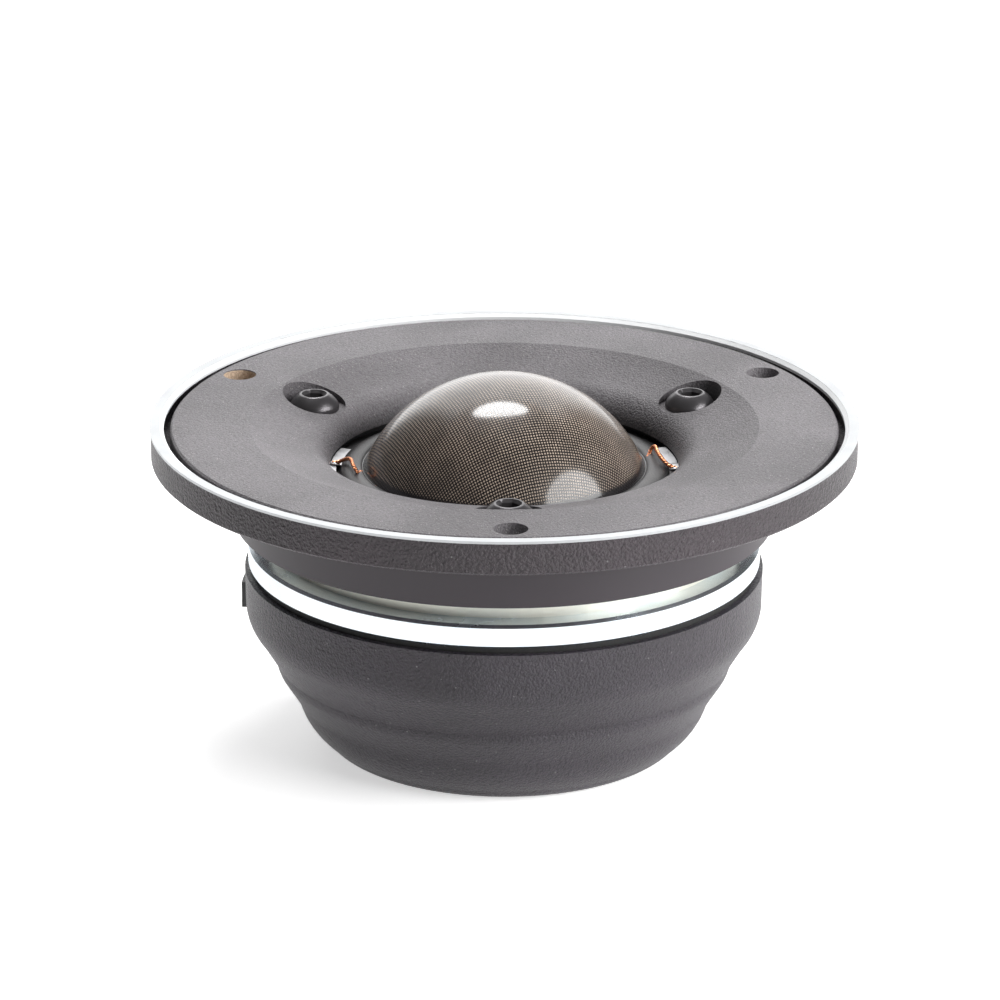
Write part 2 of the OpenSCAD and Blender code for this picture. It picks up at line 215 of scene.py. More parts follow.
def newGroup(name, inputs, outputs):
    tree = bpy.data.node_groups.new(name, "ShaderNodeTree")
    for title, kind, value in inputs:
        socket = tree.interface.new_socket(name=title, in_out="INPUT", socket_type=kind)
        if value is not None:
            socket.default_value = value
    for title, kind in outputs:
        tree.interface.new_socket(name=title, in_out="OUTPUT", socket_type=kind)
    return tree, addNode(tree, "NodeGroupInput"), addNode(tree, "NodeGroupOutput")


def useGroup(tree, group, **values):
    node = addNode(tree, "ShaderNodeGroup", node_tree=group)
    for key, value in values.items():
        feed(tree, value, node.inputs[key])
    return node


# powder coat: rounded lumps a grain wide, finer noise on them, rare spots for painted
# glints, and a slow change of tone
def powderGroup():
    tree, given, result = newGroup(
        "powderCoat",
        [("Grain", "NodeSocketFloat", 0.3), ("Fleck", "NodeSocketFloat", 0.5)],
        [("Height", "NodeSocketFloat"), ("Fleck", "NodeSocketFloat"), ("Tone", "NodeSocketFloat")])
    where = addNode(tree, "ShaderNodeTexCoord").outputs["Object"]
    cells = calc(tree, "DIVIDE", 1000.0, given.outputs["Grain"])
    lump = addNode(tree, "ShaderNodeTexVoronoi", feature="SMOOTH_F1")
    feed(tree, where, lump.inputs["Vector"])
    feed(tree, cells, lump.inputs["Scale"])
    lump.inputs["Smoothness"].default_value = 0.7
    fine = noise(tree, where, calc(tree, "MULTIPLY", cells, 1.7), 3.0, 0.6)
    lumpy = calc(tree, "MULTIPLY", lump.outputs["Distance"], 0.7)
    height = calc(tree, "SUBTRACT", calc(tree, "MULTIPLY", fine, 0.9), lumpy)
    feed(tree, height, result.inputs["Height"])
    spot = addNode(tree, "ShaderNodeTexVoronoi", feature="F1")
    feed(tree, where, spot.inputs["Vector"])
    feed(tree, calc(tree, "MULTIPLY", cells, 1.2), spot.inputs["Scale"])
    chance = addNode(tree, "ShaderNodeSeparateColor")
    feed(tree, spot.outputs["Color"], chance.inputs["Color"])
    share = calc(tree, "MULTIPLY", given.outputs["Fleck"], 0.2)
    chosen = calc(tree, "LESS_THAN", chance.outputs["Red"], share)
    near = remap(tree, spot.outputs["Distance"], 0.45, 0.15)
    feed(tree, calc(tree, "MULTIPLY", chosen, near), result.inputs["Fleck"])
    feed(tree, noise(tree, where, 55.0, 2.0), result.inputs["Tone"])
    return tree


# plain weave: threads at half-integers of U and V, a hole at each integer crossing,
# and one thread over the other in turn
def weaveGroup():
    tree, given, result = newGroup(
        "plainWeave",
        [("Cloth", "NodeSocketVector", None), ("Pitch", "NodeSocketFloat", 0.37),
         ("Thread", "NodeSocketFloat", 0.6)],
        [("Hole", "NodeSocketFloat"), ("Height", "NodeSocketFloat"),
         ("Over", "NodeSocketFloat"), ("Wander", "NodeSocketFloat")])
    drift = addNode(tree, "ShaderNodeTexNoise")
    feed(tree, given.outputs["Cloth"], drift.inputs["Vector"])
    drift.inputs["Scale"].default_value = 0.6
    pushed = addNode(tree, "ShaderNodeVectorMath", operation="MULTIPLY_ADD")
    feed(tree, drift.outputs["Color"], pushed.inputs[0])
    pushed.inputs[1].default_value = (0.25, 0.25, 0)
    feed(tree, given.outputs["Cloth"], pushed.inputs[2])
    axes = addNode(tree, "ShaderNodeSeparateXYZ")
    feed(tree, pushed.outputs[0], axes.inputs[0])
    u = calc(tree, "DIVIDE", axes.outputs["X"], given.outputs["Pitch"])
    v = calc(tree, "DIVIDE", axes.outputs["Y"], given.outputs["Pitch"])
    turnU = calc(tree, "SINE", calc(tree, "MULTIPLY", u, math.pi))
    turnV = calc(tree, "SINE", calc(tree, "MULTIPLY", v, math.pi))
    warp = calc(tree, "ABSOLUTE", turnU)
    weft = calc(tree, "ABSOLUTE", turnV)
    cover = calc(tree, "MAXIMUM", warp, weft)
    covered = calc(tree, "ADD", given.outputs["Thread"], 0.12)
    bare = calc(tree, "SUBTRACT", given.outputs["Thread"], 0.12)
    feed(tree, remap(tree, cover, covered, bare), result.inputs["Hole"])
    over = remap(tree, calc(tree, "MULTIPLY", turnU, turnV), -0.5, 0.5)
    feed(tree, over, result.inputs["Over"])
    warpHigh = calc(tree, "MULTIPLY", warp, calc(tree, "MULTIPLY_ADD", over, 0.5, 0.5))
    weftHigh = calc(tree, "MULTIPLY", weft, calc(tree, "MULTIPLY_ADD", over, -0.5, 1.0))
    feed(tree, calc(tree, "MAXIMUM", warpHigh, weftHigh), result.inputs["Height"])
    feed(tree, noise(tree, given.outputs["Cloth"], 0.25, 3.0), result.inputs["Wander"])
    return tree


# faint smears and hairlines left by handling, for bare metal and gloss plastic
def handlingGroup():
    tree, given, result = newGroup(
        "handling",
        [("Scale", "NodeSocketFloat", 1.0)],
        [("Smear", "NodeSocketFloat"), ("Hairline", "NodeSocketFloat")])
    where = addNode(tree, "ShaderNodeTexCoord").outputs["Object"]
    smear = noise(tree, where, calc(tree, "MULTIPLY", given.outputs["Scale"], 130.0), 4.0, 0.6)
    feed(tree, smear, result.inputs["Smear"])
    stretch = addNode(tree, "ShaderNodeMapping")
    feed(tree, where, stretch.inputs["Vector"])
    stretch.inputs["Scale"].default_value = (1.0, 1.0, 30.0)
    closeness = calc(tree, "MULTIPLY", given.outputs["Scale"], 260.0)
    feed(tree, noise(tree, stretch.outputs[0], closeness, 2.0, 0.7), result.inputs["Hairline"])
    return tree


powder = powderGroup()
weave = weaveGroup()
handling = handlingGroup()


def newMaterial(name):
    material = bpy.data.materials.new(name)
    material.use_nodes = True
    tree = material.node_tree
    return material, tree, tree.nodes["Principled BSDF"]


def bump(tree, shader, height, distance, strength=1.0):
    node = addNode(tree, "ShaderNodeBump")
    feed(tree, height, node.inputs["Height"])
    node.inputs["Distance"].default_value = distance * mm
    node.inputs["Strength"].default_value = strength
    feed(tree, node.outputs["Normal"], shader.inputs["Normal"])


def setShader(shader, **values):
    for key, value in values.items():
        shader.inputs[key].default_value = value


def scaled(colour, factor):
    return tuple(factor * c for c in colour)


# grain and depth in millimetres
def powderMaterial(
        name, colour, grain, depth, rough, glintShare, glintPaintColour=(0.5, 0.5, 0.5), shine=0.5):
    material, tree, shader = newMaterial(name)
    coat = useGroup(tree, powder, Grain=grain, Fleck=glintShare)
    tone = remap(tree, coat.outputs["Tone"], 0.3, 0.7)
    body = mixColour(tree, tone, scaled(colour, 0.82), scaled(colour, 1.18))
    # painted shade: the low parts of the lumps are painted darker and their tops paler, as light
    # would fall on them
    low = remap(tree, coat.outputs["Height"], -0.25, 0.35, 0.72, 1.15)
    shade = addNode(tree, "ShaderNodeCombineColor")
    for socket in shade.inputs:
        feed(tree, low, socket)
    body = mixColour(tree, 1.0, body, shade.outputs[0], "MULTIPLY")
    # painted glints: rare spots painted pale grey stand in for sparkles of light, and their
    # roughness drops too
    body = mixColour(tree, calc(tree, "MULTIPLY", coat.outputs["Fleck"], 0.6), body, glintPaintColour)
    feed(tree, body, shader.inputs["Base Color"])
    glint = calc(tree, "MULTIPLY", coat.outputs["Fleck"], 0.2)
    feed(tree, calc(tree, "SUBTRACT", rough, glint), shader.inputs["Roughness"])
    shader.inputs["Specular IOR Level"].default_value = shine
    bump(tree, shader, coat.outputs["Height"], depth)
    return material


# tint is the colour of the smears, lines the depth of the hairlines in millimetres
def metalMaterial(
        name, colour, rough, metallic=1.0, smear=0.08, lines=0.0, tint=None, scale=1.0):
    material, tree, shader = newMaterial(name)
    marks = useGroup(tree, handling, Scale=scale)
    patchy = remap(tree, marks.outputs["Smear"], 0.35, 0.7)
    body = mixColour(tree, patchy, colour, tint or scaled(colour, 0.93))
    feed(tree, body, shader.inputs["Base Color"])
    feed(tree, calc(tree, "MULTIPLY_ADD", patchy, smear, rough), shader.inputs["Roughness"])
    shader.inputs["Metallic"].default_value = metallic
    if lines:
        bump(tree, shader, marks.outputs["Hairline"], lines)
    return material


def plasticMaterial(name, colour, rough, grain=0.25, depth=0.01):
    material, tree, shader = newMaterial(name)
    coat = useGroup(tree, powder, Grain=grain, Fleck=0.0)
    body = mixColour(tree, coat.outputs["Tone"], colour, scaled(colour, 1.3))
    feed(tree, body, shader.inputs["Base Color"])
    uneven = calc(tree, "MULTIPLY_ADD", coat.outputs["Tone"], 0.12, rough)
    feed(tree, uneven, shader.inputs["Roughness"])
    bump(tree, shader, coat.outputs["Height"], depth)
    return material


def feltMaterial(name, colour, grain):
    material, tree, shader = newMaterial(name)
    where = addNode(tree, "ShaderNodeTexCoord").outputs["Object"]
    fibre = noise(tree, where, 1000.0 / grain, 5.0, 0.75)
    body = mixColour(tree, fibre, scaled(colour, 0.5), scaled(colour, 1.4))
    feed(tree, body, shader.inputs["Base Color"])
    setShader(shader, Roughness=0.95)
    bump(tree, shader, fibre, 0.3)
    return material


# woven dome: glossy coated threads, and a paler beige at each hole;
# pitch and glueFrom are millimetres of cloth, thread is the share of a pitch it covers
domeLook = {
    "rings": 72,
    "thickness": 0.28 * mm,
    "pitch": 0.42,
    "turn": -18.0,
    "thread": 0.72,
    "threadColour": (0.006, 0.005, 0.005),
    "threadOverSheen": (0.014, 0.011, 0.011),
    "holeColour": (0.48, 0.385, 0.31),
    "bumpDepth": 0.05,
    "glueFrom": 22.9,
    "glueWidth": 0.7,
    "glueColour": (0.010, 0.008, 0.009),
    "shine": {
        "Specular IOR Level": 0.15, "Coat Weight": 0.8, "Coat Roughness": 0.12, "Coat IOR": 1.5},
}


def domeMaterial():
    material, tree, shader = newMaterial("domeWeave")
    c = domeLook
    cloth = addNode(tree, "ShaderNodeAttribute", attribute_name="cloth")
    net = useGroup(
        tree, weave, Cloth=cloth.outputs["Vector"], Pitch=c["pitch"], Thread=c["thread"])
    # painted sheen: cells where the warp lies on top are painted paler than those where the weft
    # does
    thread = mixColour(tree, net.outputs["Over"], c["threadColour"], c["threadOverSheen"])
    patchy = remap(tree, net.outputs["Wander"], 0.3, 0.7, 0.65, 1.0)
    seen = calc(tree, "MULTIPLY", net.outputs["Hole"], patchy)
    woven = mixColour(tree, seen, thread, c["holeColour"])
    # glue soaks the cloth near the rim, out to a wandering line
    length = addNode(tree, "ShaderNodeVectorMath", operation="LENGTH")
    feed(tree, cloth.outputs["Vector"], length.inputs[0])
    edge = calc(tree, "MULTIPLY_ADD", net.outputs["Wander"], 0.8, length.outputs["Value"])
    soaked = remap(tree, edge, c["glueFrom"], c["glueFrom"] + c["glueWidth"])
    feed(tree, mixColour(tree, soaked, woven, c["glueColour"]), shader.inputs["Base Color"])
    rough = calc(tree, "MULTIPLY_ADD", net.outputs["Hole"], 0.3, 0.32)
    feed(tree, rough, shader.inputs["Roughness"])
    setShader(shader, **c["shine"])
    bump(tree, shader, net.outputs["Height"], c["bumpDepth"], 0.7)
    return material


def clothMaterial(name, colour, pitch):
    material, tree, shader = newMaterial(name)
    cloth = addNode(tree, "ShaderNodeAttribute", attribute_name="cloth")
    net = useGroup(tree, weave, Cloth=cloth.outputs["Vector"], Pitch=pitch, Thread=0.25)
    # painted sheen: cells where the warp lies on top are painted paler
    body = mixColour(tree, net.outputs["Over"], colour, scaled(colour, 1.8))
    feed(tree, body, shader.inputs["Base Color"])
    rough = calc(tree, "MULTIPLY_ADD", net.outputs["Wander"], 0.2, 0.28)
    feed(tree, rough, shader.inputs["Roughness"])
    bump(tree, shader, net.outputs["Height"], 0.03, 0.6)
    return material


print("materials")
look = {
    "faceplate": powderMaterial(
        "facePowder", (0.148, 0.139, 0.147), 0.30, 0.14, 0.5, 0.5, (0.40, 0.38, 0.36), 0.25),
    "flange": powderMaterial(
        "flangePowder", (0.030, 0.022, 0.027), 0.46, 0.34, 0.42, 0.05, (0.3, 0.3, 0.3)),
    "chamber": powderMaterial(
        "chamberPowder", (0.028, 0.023, 0.030), 0.38, 0.28, 0.42, 0.05, (0.3, 0.3, 0.3)),
    "neck": plasticMaterial("neckSatin", (0.017, 0.011, 0.016), 0.38, 0.5, 0.004),
    "trim": metalMaterial("trimCut", (0.40, 0.41, 0.42), 0.34, metallic=0.85, smear=0.06),
    # painted highlight: the trim's metal again, painted near white and not metallic, for its inner
    # bevel
    "trimBevelHighlight": metalMaterial("trimBevelHighlight", (0.86, 0.87, 0.88), 0.45, metallic=0.0, smear=0.06),
    "nickel": metalMaterial(
        "magnetNickel", (0.70, 0.74, 0.77), 0.19, smear=0.1, tint=(0.62, 0.69, 0.75)),
    "zinc": metalMaterial(
        "plateZinc", (0.86, 0.86, 0.76), 0.42, metallic=0.35, smear=0.1, tint=(0.82, 0.84, 0.76)),
    "screw": metalMaterial(
        "blackOxide", (0.10, 0.095, 0.10), 0.28, metallic=0.75, smear=0.1, lines=0.01, scale=3.0),
    "plainScrew": metalMaterial("screwZinc", (0.55, 0.56, 0.58), 0.3, lines=0.01, scale=3.0),
    "copper": metalMaterial(
        "bareCopper", (0.86, 0.36, 0.19), 0.28, smear=0.15, tint=(0.62, 0.22, 0.10), scale=8.0),
    "tin": metalMaterial("tinPlate", (0.52, 0.52, 0.53), 0.34, smear=0.15, scale=5.0),
    "foil": metalMaterial("formerFoil", (0.70, 0.68, 0.62), 0.35, lines=0.01),
    "surround": clothMaterial("surroundCloth", (0.012, 0.011, 0.012), 0.28),
    "felt": feltMaterial("polefelt", (0.10, 0.10, 0.105), 0.4),
    "wadding": feltMaterial("wadding", (0.62, 0.60, 0.57), 1.4),
    "blackPlastic": plasticMaterial("mouldedBlack", (0.020, 0.020, 0.022), 0.42),
    "gasket": plasticMaterial("foamGasket", (0.012, 0.012, 0.012), 0.8, 0.3, 0.06),
    "red": plasticMaterial("redInsulation", (0.45, 0.02, 0.015), 0.32, 0.8, 0.004),
    "black": plasticMaterial("blackInsulation", (0.018, 0.018, 0.02), 0.32, 0.8, 0.004),
    "glue": plasticMaterial("glueBead", (0.010, 0.009, 0.010), 0.18, 1.2, 0.03),
    "rawWall": powderMaterial("rawWall", (0.42, 0.31, 0.22), 0.35, 0.08, 0.7, 0.0),
    "dome": domeMaterial(),
}

nodeLooks = {
    "faceplate": "faceplate", "flange": "flange", "trim_ring": "trim", "basket": "neck",
    "rear_chamber": "chamber", "magnet": "nickel", "top_plate": "zinc", "yoke": "zinc",
    "copper_cap": "copper", "pole_felt": "felt", "chamber_wadding": "wadding",
    "chamber_gasket": "gasket", "faceplate_gasket": "gasket", "chamber_screws": "plainScrew",
    "faceplate_screws": "screw", "diaphragm_ring": "blackPlastic", "surround": "surround",
    "dome": "dome", "voice_coil_former": "foil", "voice_coil_winding": "copper",
    "solder_tab_left": "tin", "solder_tab_right": "tin", "lead_wire_left": "copper",
    "lead_wire_right": "copper", "terminal_block": "blackPlastic", "positive_terminal": "tin",
    "negative_terminal": "tin", "positive_wire": "red", "negative_wire": "black",
}


def dress(piece, lookName):
    piece.data.materials.clear()
    piece.data.materials.append(look[lookName])


# a finished fixed piece: its look, its body, and the node it stands for
def finishFixed(piece, lookName, node=None):
    dress(piece, lookName)
    if node:
        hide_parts(node)
    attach(piece, "motor")


for name, lookName in nodeLooks.items():
    dress(nodes[name], lookName)


# a cloth attribute, in millimetres of flat cloth, for the weave
def addCloth(piece, flat, degrees=0.0):
    flat = azimuth(np.c_[flat, np.zeros(len(flat))], degrees)
    attribute = piece.data.attributes.new("cloth", "FLOAT_VECTOR", "POINT")
    attribute.data.foreach_set("vector", flat.ravel())


def coordinates(piece):
    co = np.empty(len(piece.data.vertices) * 3)
    piece.data.vertices.foreach_get("co", co)
    return co.reshape(-1, 3)


# the dome: a sphere's cap r = R sin(t), z = c + R cos(t), with its thickness inside;
# the cloth keeps its length along each meridian, so flat radius = R t
def makeDome():
    rimR, rimZ, topZ = extent("dome")
    rise = topZ - rimZ
    sphereR = (rimR ** 2 + rise ** 2) / (2 * rise)
    centre = topZ - sphereR
    t = np.linspace(0, math.acos((rimZ - centre) / sphereR), domeLook["rings"])
    outer = np.c_[sphereR * np.sin(t), centre + sphereR * np.cos(t)]
    innerR = sphereR - domeLook["thickness"]
    inner = np.c_[innerR * np.sin(t), centre + innerR * np.cos(t)][::-1]
    piece = lathe("wovenDome", np.concatenate([outer, inner]), 256, closedProfile=False)
    co = coordinates(piece)
    polar = np.arctan2(np.hypot(co[:, 0], co[:, 1]), co[:, 2] - centre)
    direction = co[:, :2] / np.maximum(np.hypot(co[:, 0], co[:, 1]), 1e-9)[:, None]
    addCloth(piece, direction * (polar * sphereR / mm)[:, None], domeLook["turn"])
    dress(piece, "dome")
    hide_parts("dome")
    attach(piece, "diaphragm")


print("dome")
makeDome()


surroundLook = {
    "crest": 0.75 * mm,
    "thickness": 0.16 * mm,
    "landWidth": 2.05 * mm,
    "landRise": 0.1 * mm,
    "clothTurn": 40.0,
    "beadR": 0.17 * mm,
    "beadSteps": (240, 12),
}


# the surround: a half roll from the dome's rim down to its landing,
# r = middle - half cos(t), z = rim + crest sin(t) to the power 0.8, lowered towards
# the landing as t goes from 0 to pi
def makeSurround():
    c = surroundLook
    rimR, rimZ, _ = extent("dome")
    landR, landZ, _ = extent("surround")
    landZ += c["landRise"]
    innerR, footR = rimR + 0.02 * mm, landR - c["landWidth"]
    t = np.linspace(0, math.pi, 25)
    middle, half = (innerR + footR) / 2, (footR - innerR) / 2
    roll = np.c_[middle - half * np.cos(t), rimZ + 0.02 * mm + c["crest"] * np.sin(t) ** 0.8]
    roll[:, 1] += (landZ - rimZ) * (0.5 - 0.5 * np.cos(t)) ** 2
    flatZ = landZ - 0.02 * mm
    top = np.concatenate([roll, [[footR + 0.25 * mm, flatZ], [landR, flatZ]]])
    slope = np.gradient(top, axis=0)
    normal = np.c_[slope[:, 1], -slope[:, 0]] / np.linalg.norm(slope, axis=1, keepdims=True)
    under = top + normal * c["thickness"]
    piece = lathe("rolledSurround", np.concatenate([top, under[::-1]]), 256)
    co = coordinates(piece)
    addCloth(piece, co[:, :2] / mm, c["clothTurn"])
    dress(piece, "surround")
    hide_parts("surround")
    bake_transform(piece)


# a bead of glue round the dome's rim: a thin torus whose section wanders in radius
def makeRimGlue():
    rimR, rimZ, _ = extent("dome")
    around, across = surroundLook["beadSteps"]
    a = np.linspace(0, tau, around + 1)[:-1]
    b = np.linspace(0, tau, across + 1)[:-1]
    wander = 1 + 0.12 * np.sin(5 * a + 1) + 0.08 * np.sin(13 * a) + 0.05 * np.sin(31 * a + 2)
    beadR = surroundLook["beadR"] * wander[:, None]
    ringR = rimR + 0.05 * mm + beadR * np.cos(b)
    points = np.stack([
        ringR * np.cos(a)[:, None], ringR * np.sin(a)[:, None],
        rimZ + 0.14 * mm + beadR * np.sin(b)], -1)
    bead = tidyMesh(makeMesh("rimGlue", points, gridQuads(around, across, True, True)))
    dress(bead, "glue")
    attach(bead, "diaphragm")


print("surround")
makeSurround()
makeRimGlue()


# a lead of three twisted strands: each strand's centre circles the path,
# offset (side cos(w s) + up sin(w s)), where s is the length along it
def strandedLead(name, path, strandR, twist, helper=(0, 0, 1)):
    side, up = pathFrame(path, np.array(helper, float))
    s = np.r_[0, np.cumsum(np.linalg.norm(np.diff(path, axis=0), axis=1))]
    strands = []
    for k in range(3):
        w = tau * (s / twist + k / 3)
        centre = path + strandR * 1.1 * (side * np.cos(w)[:, None] + up * np.sin(w)[:, None])
        strands.append(tube(f"{name}{k}", centre, strandR, 8, helper))
    return joined(name, strands)


# a blob of solder: a flattened ball with a lumpy radius, in its own proportions
# r = 1 + 0.1 sin(3a) sin(2t) + 0.06 cos(2a + 1) sin(t)
def solderBlob(name, centre, size):
    around, down = 24, 13
    a = np.linspace(0, tau, around + 1)[:-1]
    a, t = np.meshgrid(a, np.linspace(0, math.pi, down), indexing="ij")
    r = 1 + 0.10 * np.sin(3 * a) * np.sin(2 * t) + 0.06 * np.cos(2 * a + 1) * np.sin(t)
    points = np.stack([r * np.sin(t) * np.cos(a), r * np.sin(t) * np.sin(a), r * np.cos(t)], -1)
    points = points * np.array(size) + np.array(centre)
    piece = tidyMesh(makeMesh(name, points, gridQuads(around, down, closeRows=True)))
    finishFixed(piece, "tin")


# the leads, in millimetres: the route is the right one's, from its tab to the dome's
# rim, and the left one is the same turned half round
leadLook = {
    "strandR": 0.13 * mm,
    "twist": 1.5 * mm,
    "route": [
        (23.2, -1.3, 38.85), (22.3, -1.1, 39.05), (21.5, -0.5, 39.6), (20.9, 0.5, 40.05),
        (20.6, 1.9, 40.3), (20.45, 3.2, 40.3), (20.15, 3.9, 40.0), (19.85, 3.9, 39.5),
        (19.6, 3.4, 39.1), (19.3, 2.6, 38.95)],
    "blendEnds": [(21.2, 0.0, 39.8), (19.6, 3.4, 39.1)],
    "solderSpot": (22.9, -1.25, 38.72),
    "solderSize": (0.75 * mm, 0.6 * mm, 0.32 * mm),
    "padSteps": 13,
    "padR": (21.95, 23.45),
    "padZ": (38.48, 38.6),
    "padTurn": {"right": (3, 20), "left": (160, 177)},
}


def makeLead(sideName, degrees):
    c = leadLook
    route = azimuth(smoothPath(c["route"], 14) * mm, degrees)
    lead = strandedLead(f"leadBraid_{sideName}", route, c["strandR"], c["twist"])
    dress(lead, "copper")
    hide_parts(f"lead_wire_{sideName}")
    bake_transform(lead)
    spot = azimuth(np.array([c["solderSpot"]]) * mm, degrees)[0]
    solderBlob(f"solder_{sideName}", spot, c["solderSize"])


# the pad that each lead's tab ends in: a short arc of flat plate, a rectangle of
# (r, z) corners swept over the angles in padTurn and closed at both ends
def makePad(sideName):
    steps = leadLook["padSteps"]
    start, end = (math.radians(v) for v in leadLook["padTurn"][sideName])
    a = np.linspace(start, end, steps)
    (r0, r1), (z0, z1) = leadLook["padR"], leadLook["padZ"]
    r, z = np.array([[r0, z0], [r1, z0], [r1, z1], [r0, z1]]).T * mm
    ring = np.stack([
        np.outer(np.cos(a), r), np.outer(np.sin(a), r), np.broadcast_to(z, (steps, 4))], -1)
    caps = np.broadcast_to(ring[[0, -1]].mean(1, keepdims=True), (2, 4, 3))
    points = np.concatenate([caps[:1], ring, caps[1:]])
    quads = gridQuads(steps + 2, 4, closeColumns=True)
    pad = sharpen(tidyMesh(makeMesh(f"solderPad_{sideName}", points, quads)))
    finishFixed(pad, "tin")


print("leads")
makePad("right")
makePad("left")
makeLead("right", 0)
makeLead("left", 180)


# button heads: rows of (radius, how much of it follows the hexagon, height); the
# hexagon's radius is flat / cos(angle from the middle of its nearest flat)
screwLook = {
    "circle": 29.66,
    "angles": (30, 150, 270),
    "turns": (12, 38, 21),
    "seat": 42.0,
    "steps": 96,
    "rows": [
        (0.0, 0, -13.0), (1.7, 0, -13.0), (1.75, 0, -12.9), (1.75, 0, 0.0), (3.34, 0, 0.0),
        (3.4, 0, 0.06), (3.4, 0, 0.45), (3.33, 0, 0.68), (3.16, 0, 0.98), (2.93, 0, 1.28),
        (2.65, 0, 1.58), (2.35, 0, 1.84), (2.08, 0, 2.05), (1.98, 0, 2.12), (1.86, 0, 2.15),
        (1.72, 0, 2.13), (1.62, 0.15, 2.02), (1.32, 1, 1.82), (1.25, 1, 1.74), (1.25, 1, 0.75),
        (1.1, 1, 0.68), (0.0, 1, 0.45)],
}


def makeScrews():
    c = screwLook
    steps = c["steps"]
    r, weight, z = np.array(c["rows"]).T
    a = np.arange(steps) * tau / steps
    quads = gridQuads(steps, len(z), closeRows=True)
    pieces = []
    for k, angle in enumerate(c["angles"]):
        flat = (a + math.radians(c["turns"][k])) % (tau / 6) - tau / 12
        factor = 1 + weight[None] * (1 / np.cos(flat)[:, None] - 1)
        points = np.stack([
            c["circle"] + r * factor * np.cos(a)[:, None], r * factor * np.sin(a)[:, None],
            np.broadcast_to(z + c["seat"], (steps, len(z)))], -1)
        head = makeMesh(f"buttonHead{k}", azimuth(points.reshape(-1, 3) * mm, angle), quads)
        pieces.append(sharpen(tidyMesh(head), 28))
    finishFixed(joined("buttonHeads", pieces), "screw", "faceplate_screws")


print("screws")
makeScrews()


# a CAD node's mesh again with its doubles merged, crisp where its faces meet at more
# than the angle given
def crispCopy(node, name, lookName, degrees):
    piece = bpy.data.objects.new(name, nodes[node].data.copy())
    bpy.context.scene.collection.objects.link(piece)
    tidyMesh(piece)
    piece.data.polygons.foreach_set("use_smooth", np.full(len(piece.data.polygons), True))
    sharpen(piece, degrees)
    finishFixed(piece, lookName, node)


print("chamber, trim, top plate and magnet")
crispCopy("rear_chamber", "chamberShell", "chamber", 7)
crispCopy("trim_ring", "trimShell", "trim", 20)
crispCopy("top_plate", "topPlateShell", "zinc", 20)


magnetLook = {"hole": 23.0 * mm, "bevel": 0.4 * mm}


# the magnet turned again, with clean bevels for its bright plating to show
def makeMagnet():
    outer, low, high = extent("magnet")
    hole, bevel = magnetLook["hole"], magnetLook["bevel"]
    profile = np.array([
        [hole, low], [outer - bevel, low], [outer, low + bevel],
        [outer, high - bevel], [outer - bevel, high], [hole, high]])
    finishFixed(lathe("magnetRing", profile), "nickel", "magnet")


makeMagnet()


# a sleeve in the mounting hole at the back left, where the raw wall shows
holeWallLook = {
    "circle": 41.5, "angle": 150, "outer": 2.25, "inner": 2.19, "low": 43.0, "shoulder": 44.65,
    "high": 44.75,
}


def makeHoleWall():
    c = holeWallLook
    profile = np.array([
        [c["outer"], c["high"]], [c["inner"], c["shoulder"]], [c["inner"], c["low"]],
        [c["outer"], c["low"]]]) * mm
    piece = lathe("holeWall", profile, 64)
    a, reach = math.radians(c["angle"]), c["circle"] * mm
    piece.data.transform(Matrix.Translation((reach * math.cos(a), reach * math.sin(a), 0)))
    finishFixed(piece, "rawWall")


# the bevel inside the trim ring, bright down to the groove: a painted highlight, the trim's own
# metal painted near white and not metallic
bevelLook = {"outer": 46.3, "inner": 45.75, "low": 44.5, "step": 44.92, "high": 45.33}


def makeTrimBevelHighlight():
    c = bevelLook
    profile = np.array([
        [c["inner"], c["low"]], [c["outer"], c["low"]], [c["outer"], c["high"]],
        [c["inner"], c["step"]]]) * mm
    finishFixed(lathe("trimBevelHighlight", profile), "trimBevelHighlight")


print("hole wall and bevel")
makeHoleWall()
makeTrimBevelHighlight()


# camera: distance in rim radii and elevation, both from the rim's centre at planeZ,
# then the aim's own pitch, yaw and roll, and all of it turned about the axis
cameraLook = {
    "rimR": 47.0, "planeZ": 44.8, "distance": 18.0, "elevation": 19.075, "turn": -1.2,
    "pitch": 19.770, "yaw": -0.0406, "roll": 0.179, "lens": 226.645, "sensor": 36,
}


def makeCamera():
    c = cameraLook
    e, p, q, w, turn = (math.radians(c[k]) for k in ("elevation", "pitch", "yaw", "roll", "turn"))
    reach = c["distance"] * c["rimR"] * mm
    place = np.array([0, -reach * math.cos(e), reach * math.sin(e)])
    forward = np.array([math.sin(q) * math.cos(p), math.cos(q) * math.cos(p), -math.sin(p)])
    right = np.cross(forward, (0, 0, 1))
    right /= np.linalg.norm(right)
    up = np.cross(right, forward)
    rolled = right * math.cos(w) + up * math.sin(w)
    up = up * math.cos(w) - right * math.sin(w)
    matrix = Matrix.Identity(4)
    for k, column in enumerate((rolled, up, -forward, place)):
        for row in range(3):
            matrix[row][k] = column[row]
    camera = bpy.data.cameras.new("camera")
    camera.lens = c["lens"]
    camera.sensor_width = c["sensor"]
    camera.clip_end = 50
    holder = bpy.data.objects.new("camera", camera)
    bpy.context.scene.collection.objects.link(holder)
    rise = Matrix.Translation((0, 0, c["planeZ"] * mm))
    holder.matrix_world = rise @ Matrix.Rotation(turn, 4, "Z") @ matrix
    bpy.context.scene.camera = holder


# softboxes: where each stands, seen from the object with azimuth 0 behind it and 90 to
# its right, and how bright its face is
lights = {
    "topBack": {
        "azimuth": -4, "elevation": 65, "distance": 0.9,
        "width": 0.44, "height": 0.26, "radiance": 15.0},
    "frontRight": {
        "azimuth": 119, "elevation": 25, "distance": 1.0,
        "width": 0.90, "height": 0.72, "radiance": 7.4},
}


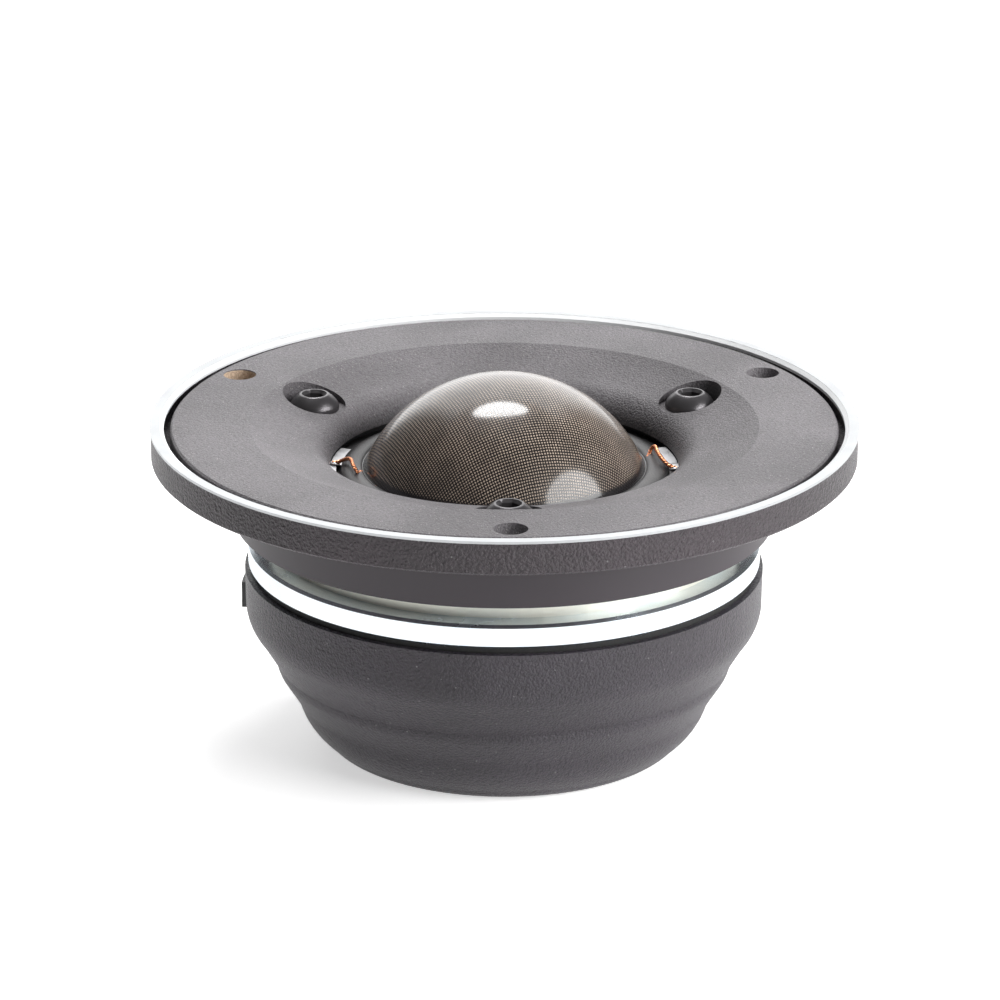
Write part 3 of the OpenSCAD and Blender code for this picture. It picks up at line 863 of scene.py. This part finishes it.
def makeLights():
    # watts = pi * width * height * radiance; the ellipse in that rectangle gets them all
    for name, s in lights.items():
        lamp = bpy.data.lights.new(name, "AREA")
        lamp.shape = "ELLIPSE"
        lamp.size, lamp.size_y = s["width"], s["height"]
        lamp.energy = math.pi * s["width"] * s["height"] * s["radiance"]
        holder = bpy.data.objects.new(name, lamp)
        bpy.context.scene.collection.objects.link(holder)
        a, e = math.radians(s["azimuth"]), math.radians(s["elevation"])
        away = np.array([math.sin(a) * math.cos(e), math.cos(a) * math.cos(e), math.sin(e)])
        across = np.cross((0, 0, 1), away)
        across /= np.linalg.norm(across)
        facing = Matrix((across, np.cross(away, across), away)).transposed().to_4x4()
        place = away * s["distance"] + (0, 0, 0.03)  # seen from the object's middle
        holder.matrix_world = Matrix.Translation(tuple(place)) @ facing


studio = {
    "floorSize": 9.0,
    "floorColour": 0.92,
    "floorGlow": 0.55,
    "backLight": 2.1,
    "rightLight": 0.02,
    "roomLight": 0.12,
}


# the room's light by direction: bright low down behind, dim in front and above; the
# camera itself sees it white
def makeWorld():
    world = bpy.data.worlds.new("studio")
    world.use_nodes = True
    bpy.context.scene.world = world
    tree = world.node_tree
    back = tree.nodes["Background"]
    back.inputs["Color"].default_value = (1.0, 1.0, 1.0, 1.0)
    axes = addNode(tree, "ShaderNodeSeparateXYZ")
    feed(tree, addNode(tree, "ShaderNodeTexCoord").outputs["Generated"], axes.inputs[0])
    backdrop = remap(tree, axes.outputs["Y"], 0.1, 0.3)
    narrow = remap(tree, calc(tree, "ABSOLUTE", axes.outputs["X"]), 0.55, 0.34)
    lowDown = remap(tree, axes.outputs["Z"], 0.84, 0.74)
    glow = calc(tree, "MULTIPLY", calc(tree, "MULTIPLY", backdrop, narrow), lowDown)
    beside = calc(tree, "MULTIPLY", remap(tree, axes.outputs["X"], 0.3, 0.9), lowDown)
    strength = calc(tree, "MULTIPLY_ADD", glow, studio["backLight"], studio["roomLight"])
    strength = calc(tree, "MULTIPLY_ADD", beside, studio["rightLight"], strength)
    isCamera = addNode(tree, "ShaderNodeLightPath").outputs["Is Camera Ray"]
    strength = calc(tree, "MAXIMUM", strength, isCamera)
    feed(tree, strength, back.inputs["Strength"])


def makeFloor():
    corners = studio["floorSize"] * np.array([[-1, -1, 0], [1, -1, 0], [1, 1, 0], [-1, 1, 0]])
    floor = makeMesh("floor", corners, np.array([[0, 1, 2, 3]]), False)
    material, _, shader = newMaterial("paleFloor")
    shade = studio["floorColour"]
    setShader(shader, **{
        "Base Color": (shade, shade, shade, 1), "Roughness": 0.7, "Specular IOR Level": 0.2,
        "Emission Color": (1, 1, 1, 1), "Emission Strength": studio["floorGlow"]})
    floor.data.materials.append(material)


print("studio")
makeCamera()
makeLights()
makeWorld()
makeFloor()
bpy.context.scene.view_settings.view_transform = "Standard"
